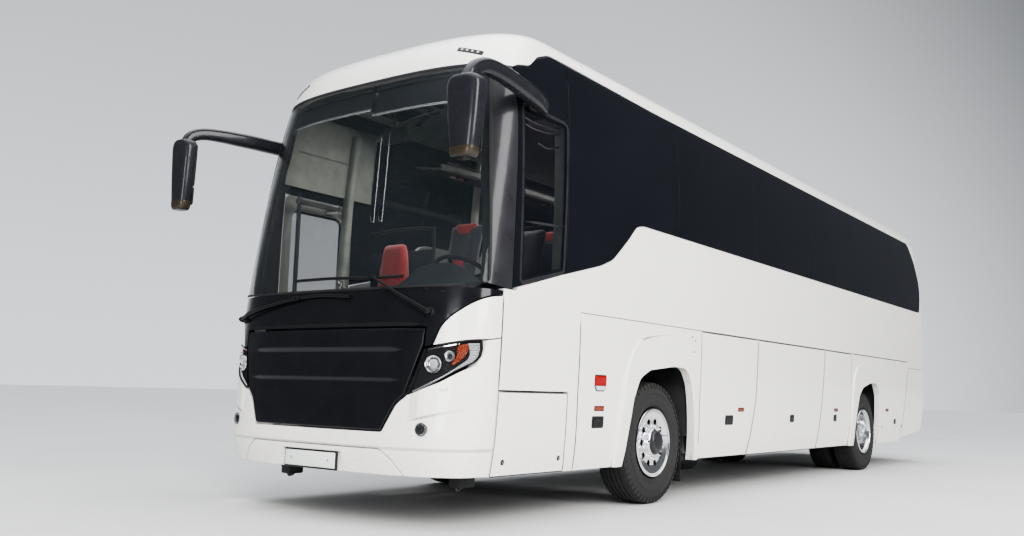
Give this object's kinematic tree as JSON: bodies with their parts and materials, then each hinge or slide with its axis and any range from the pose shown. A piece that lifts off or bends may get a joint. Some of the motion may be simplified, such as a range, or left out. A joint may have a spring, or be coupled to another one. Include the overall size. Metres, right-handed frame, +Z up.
{
  "type": "touring coach",
  "caption": "Two-axle high-deck touring coach with hinged luggage flaps, plug doors, steered front wheels and a furnished glazed saloon.",
  "frame": {"origin": "on the ground under the middle of the vehicle's outer box", "axes": "+Z up, -Y forwards, +X towards the driver's (left) side"},
  "size_m": [3.033, 12.3766, 3.8116],
  "materials": {
    "black_gloss": "gloss",
    "black_plastic": "matte",
    "cast_steel": "matte",
    "chassis_steel": "matte",
    "clear_glass": "gloss",
    "floor_cover": "matte",
    "galvanised": "matte",
    "lamp_clear": "gloss",
    "lamp_red": "gloss",
    "plate_grey": "satin",
    "polished_aluminium": "polished",
    "seat_fabric": "woven",
    "tinted_glass": "gloss",
    "trim_light": "matte",
    "tyre_rubber": "matte",
    "white_paint": "gloss"
  },
  "bodies": {
    "coach_body": {"body_frame": "trim_light", "dashboard": "black_plastic", "driver_seat": "seat_fabric", "engine": "cast_steel", "front_axle": "cast_steel", "front_bumper": "white_paint", "front_corner_panels": "white_paint", "front_cowl_panel": "black_gloss", "fuel_tank": "galvanised", "headlights": "lamp_clear", "luggage_hold": "galvanised", "luggage_racks": "trim_light", "mirrors": "black_gloss", "mudflaps": "tyre_rubber", "number_plates": "plate_grey", "passenger_seats": "seat_fabric", "pillar_covers": "black_gloss", "propeller_shaft": "chassis_steel", "rear_axle": "cast_steel", "rear_bumper": "white_paint", "rear_wall": "white_paint", "rear_window": "tinted_glass", "roof": "white_paint", "roof_air_conditioner": "white_paint", "roof_hatches": "white_paint", "saloon_floor": "floor_cover", "seat_frames": "chassis_steel", "side_glazing": "tinted_glass", "side_walls": "white_paint", "steering_wheel": "black_plastic", "suspension": "chassis_steel", "tail_lights": "lamp_red", "underframe": "chassis_steel", "wheel_housings": "chassis_steel", "windscreen": "clear_glass", "wipers": "black_plastic"},
    "left_knuckle": {"left_knuckle": "cast_steel"},
    "right_knuckle": {"right_knuckle": "cast_steel"},
    "front_left_wheel": {"front_left_tyre": "tyre_rubber", "front_left_wheel": "polished_aluminium"},
    "front_right_wheel": {"front_right_tyre": "tyre_rubber", "front_right_wheel": "polished_aluminium"},
    "rear_left_wheels": {"rear_left_tyres": "tyre_rubber", "rear_left_wheels": "polished_aluminium"},
    "rear_right_wheels": {"rear_right_tyres": "tyre_rubber", "rear_right_wheels": "polished_aluminium"},
    "front_door_arms": {"front_door_arms": "chassis_steel"},
    "front_door": {"front_door": "white_paint", "front_door_glass": "tinted_glass"},
    "middle_door_arms": {"middle_door_arms": "chassis_steel"},
    "middle_door": {"middle_door": "white_paint", "middle_door_glass": "tinted_glass"},
    "left_luggage_flap_1": {"left_luggage_flap_1": "white_paint"},
    "left_luggage_flap_2": {"left_luggage_flap_2": "white_paint"},
    "left_luggage_flap_3": {"left_luggage_flap_3": "white_paint"},
    "right_luggage_flap_1": {"right_luggage_flap_1": "white_paint"},
    "right_luggage_flap_2": {"right_luggage_flap_2": "white_paint"},
    "service_hatch": {"service_hatch": "white_paint"},
    "front_flap": {"front_flap": "black_gloss"},
    "engine_lid": {"engine_lid": "white_paint"}
  },
  "joints": [
    {"name": "left_steering", "type": "hinge", "parent": "coach_body", "child": "left_knuckle", "pos_m": [0.93, -3.0649, 0.522], "axis": [0, 0, 1], "range_deg": [-45, 45]},
    {"name": "right_steering", "type": "hinge", "parent": "coach_body", "child": "right_knuckle", "pos_m": [-0.93, -3.0649, 0.522], "axis": [0, 0, 1], "range_deg": [-45, 45]},
    {"name": "front_left_wheel_spin", "type": "hinge", "parent": "left_knuckle", "child": "front_left_wheel", "pos_m": [1.03, -3.0649, 0.522], "axis": [1, 0, 0], "continuous": true},
    {"name": "front_right_wheel_spin", "type": "hinge", "parent": "right_knuckle", "child": "front_right_wheel", "pos_m": [-1.03, -3.0649, 0.522], "axis": [1, 0, 0], "continuous": true},
    {"name": "rear_left_wheels_spin", "type": "hinge", "parent": "coach_body", "child": "rear_left_wheels", "pos_m": [0.9, 2.8851, 0.522], "axis": [1, 0, 0], "continuous": true},
    {"name": "rear_right_wheels_spin", "type": "hinge", "parent": "coach_body", "child": "rear_right_wheels", "pos_m": [-0.9, 2.8851, 0.522], "axis": [1, 0, 0], "continuous": true},
    {"name": "front_door_swing", "type": "hinge", "parent": "coach_body", "child": "front_door_arms", "pos_m": [-1.112, -5.1719, 1.2], "axis": [0, 0, 1], "range_deg": [0, 112]},
    {"name": "front_door_leaf", "type": "hinge", "parent": "front_door_arms", "child": "front_door", "pos_m": [-1.112, -4.7219, 1.2], "axis": [0, 0, 1], "range_deg": [-112, 0]},
    {"name": "middle_door_swing", "type": "hinge", "parent": "coach_body", "child": "middle_door_arms", "pos_m": [-1.112, 2.0261, 1.2], "axis": [0, 0, -1], "range_deg": [0, 112]},
    {"name": "middle_door_leaf", "type": "hinge", "parent": "middle_door_arms", "child": "middle_door", "pos_m": [-1.112, 1.5761, 1.2], "axis": [0, 0, -1], "range_deg": [-112, 0]},
    {"name": "left_luggage_flap_1_hinge", "type": "hinge", "parent": "coach_body", "child": "left_luggage_flap_1", "pos_m": [1.2662, -1.5879, 1.535], "axis": [0, -1, 0], "range_deg": [0, 90]},
    {"name": "left_luggage_flap_2_hinge", "type": "hinge", "parent": "coach_body", "child": "left_luggage_flap_2", "pos_m": [1.2662, 0.1121, 1.535], "axis": [0, -1, 0], "range_deg": [0, 90]},
    {"name": "left_luggage_flap_3_hinge", "type": "hinge", "parent": "coach_body", "child": "left_luggage_flap_3", "pos_m": [1.2662, 1.7121, 1.535], "axis": [0, -1, 0], "range_deg": [0, 90]},
    {"name": "right_luggage_flap_1_hinge", "type": "hinge", "parent": "coach_body", "child": "right_luggage_flap_1", "pos_m": [-1.2662, -1.3879, 1.535], "axis": [0, 1, 0], "range_deg": [0, 90]},
    {"name": "right_luggage_flap_2_hinge", "type": "hinge", "parent": "coach_body", "child": "right_luggage_flap_2", "pos_m": [-1.2662, 0.4121, 1.535], "axis": [0, 1, 0], "range_deg": [0, 90]},
    {"name": "service_hatch_hinge", "type": "hinge", "parent": "coach_body", "child": "service_hatch", "pos_m": [1.251, -4.9379, 0.925], "axis": [0, -1, 0], "range_deg": [0, 85]},
    {"name": "front_flap_hinge", "type": "hinge", "parent": "coach_body", "child": "front_flap", "pos_m": [0, -5.8349, 1.335], "axis": [-1, 0, 0], "range_deg": [0, 70]},
    {"name": "engine_lid_hinge", "type": "hinge", "parent": "coach_body", "child": "engine_lid", "pos_m": [0, 6.1861, 2.043], "axis": [1, 0, 0], "range_deg": [0, 80]}
  ],
  "couplings": [
    {"joint": "right_steering", "follows": "left_steering", "ratio": 1},
    {"joint": "front_door_leaf", "follows": "front_door_swing", "ratio": -1},
    {"joint": "middle_door_leaf", "follows": "middle_door_swing", "ratio": -1}
  ]
}
